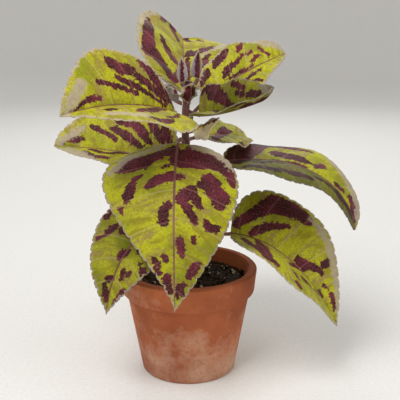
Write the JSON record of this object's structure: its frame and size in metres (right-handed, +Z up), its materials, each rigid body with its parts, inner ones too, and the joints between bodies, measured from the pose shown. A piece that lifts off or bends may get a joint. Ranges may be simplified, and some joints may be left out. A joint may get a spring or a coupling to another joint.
{
  "type": "potted plant",
  "caption": "Coleus with lime leaves blotched in burgundy, mauve veins and pale toothed margins, growing on an upright stem in a plain terracotta pot of soil",
  "frame": {"origin": "the centre of the pot's flat underside, where it rests on the ground", "axes": "+Z up along the stem, -Y towards the viewer of the picture, +X to that viewer's right"},
  "size_m": [0.1976, 0.1686, 0.232],
  "materials": {
    "terracotta": "matte",
    "potting_soil": "matte",
    "green_stem": "satin",
    "leaf_blade": "satin"
  },
  "bodies": {
    "root": {"pot": "terracotta", "soil": "potting_soil", "stem": "green_stem", "leaf_low_left": "leaf_blade", "leaf_low_right": "leaf_blade", "leaf_low_back": "leaf_blade", "leaf_mid_left": "leaf_blade", "leaf_mid_right": "leaf_blade", "leaf_front": "leaf_blade", "leaf_back": "leaf_blade", "leaf_upper_left": "leaf_blade", "leaf_upper_right": "leaf_blade", "leaf_upper_back": "leaf_blade", "leaf_upper_front": "leaf_blade", "side_leaf_up": "leaf_blade", "side_leaf_out": "leaf_blade", "young_leaf_left": "leaf_blade", "young_leaf_right": "leaf_blade", "bud_leaf_left": "leaf_blade", "bud_leaf_right": "leaf_blade"}
  },
  "joints": []
}
